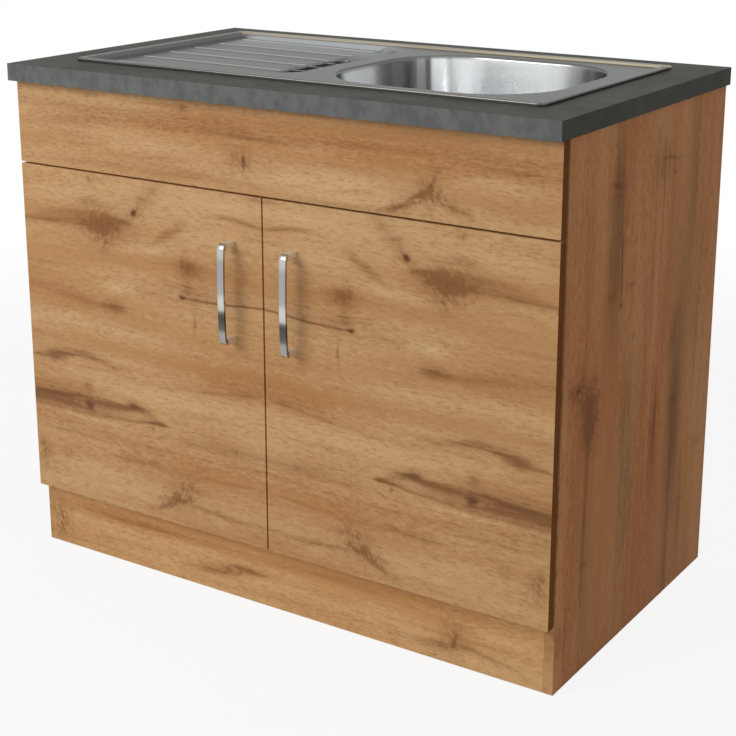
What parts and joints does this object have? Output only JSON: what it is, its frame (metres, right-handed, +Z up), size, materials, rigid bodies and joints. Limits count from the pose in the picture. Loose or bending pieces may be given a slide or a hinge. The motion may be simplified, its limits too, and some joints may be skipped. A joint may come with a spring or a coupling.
{
  "type": "kitchen base cabinet",
  "caption": "Kitchen base cabinet with hinged doors, a fixed fascia, a worktop and an inset sink with drainer and strainer waste.",
  "frame": {"origin": "on the floor, in the middle of the whole outline with the handles", "axes": "+X along the front towards the bowl's end, +Y from the doors to the back, +Z up"},
  "size_m": [1, 0.616, 0.855],
  "materials": {
    "oak_decor": "light brown oak decor on chipboard, matt with fine pores",
    "slate_laminate": "dark slate grey laminate on chipboard, matt",
    "stainless_steel": "satin stainless steel sheet, polished in the bowl",
    "polished_steel": "polished stainless steel",
    "chrome": "bright chrome",
    "nickel_steel": "nickel-plated steel",
    "rubber_seal": "black rubber",
    "white_plastic": "white moulded plastic",
    "beech": "plain beech"
  },
  "bodies": {
    "cabinet": {"side_panel_left": "oak_decor", "side_panel_right": "oak_decor", "bottom_panel": "oak_decor", "plinth_board": "oak_decor", "front_rail": "oak_decor", "rear_top_rail": "oak_decor", "rear_bottom_rail": "oak_decor", "floor_glides": "white_plastic", "wood_dowels": "beech", "cam_bolts": "nickel_steel", "cam_discs": "nickel_steel", "fascia_panel": "oak_decor", "fascia_spacers": "white_plastic", "fascia_screws": "nickel_steel", "worktop": "slate_laminate", "worktop_brackets": "nickel_steel", "worktop_screws": "nickel_steel", "sink": "stainless_steel", "sink_seal": "rubber_seal", "sink_clips": "nickel_steel", "sink_clip_screws": "nickel_steel", "waste_strainer": "polished_steel", "waste_gasket": "rubber_seal", "waste_body": "white_plastic", "waste_screw": "polished_steel", "overflow_channel": "white_plastic", "overflow_pipe": "white_plastic", "hinge_arms": "nickel_steel", "hinge_plates": "nickel_steel", "hinge_plate_screws": "nickel_steel", "hinge_arm_screws": "nickel_steel"},
    "left_door": {"door_left": "oak_decor", "door_bumpers_left": "white_plastic", "handle_left": "chrome", "handle_screws_left": "nickel_steel", "hinge_cups_left": "nickel_steel", "hinge_pins_left": "nickel_steel", "hinge_cup_screws_left": "nickel_steel"},
    "right_door": {"door_right": "oak_decor", "door_bumpers_right": "white_plastic", "handle_right": "chrome", "handle_screws_right": "nickel_steel", "hinge_cups_right": "nickel_steel", "hinge_pins_right": "nickel_steel", "hinge_cup_screws_right": "nickel_steel"},
    "basket": {"strainer_basket": "polished_steel", "basket_seal": "rubber_seal"}
  },
  "joints": [
    {"name": "left_door_hinge", "type": "hinge", "parent": "cabinet", "child": "left_door", "pos_m": [-0.488, -0.2692, 0.398], "axis": [0, 0, -1], "range_deg": [0, 95]},
    {"name": "right_door_hinge", "type": "hinge", "parent": "cabinet", "child": "right_door", "pos_m": [0.488, -0.2692, 0.398], "axis": [0, 0, 1], "range_deg": [0, 95]},
    {"name": "basket_lift", "type": "slide", "parent": "cabinet", "child": "basket", "axis": [0, 0, 1], "range_m": [0, 0.008]}
  ]
}
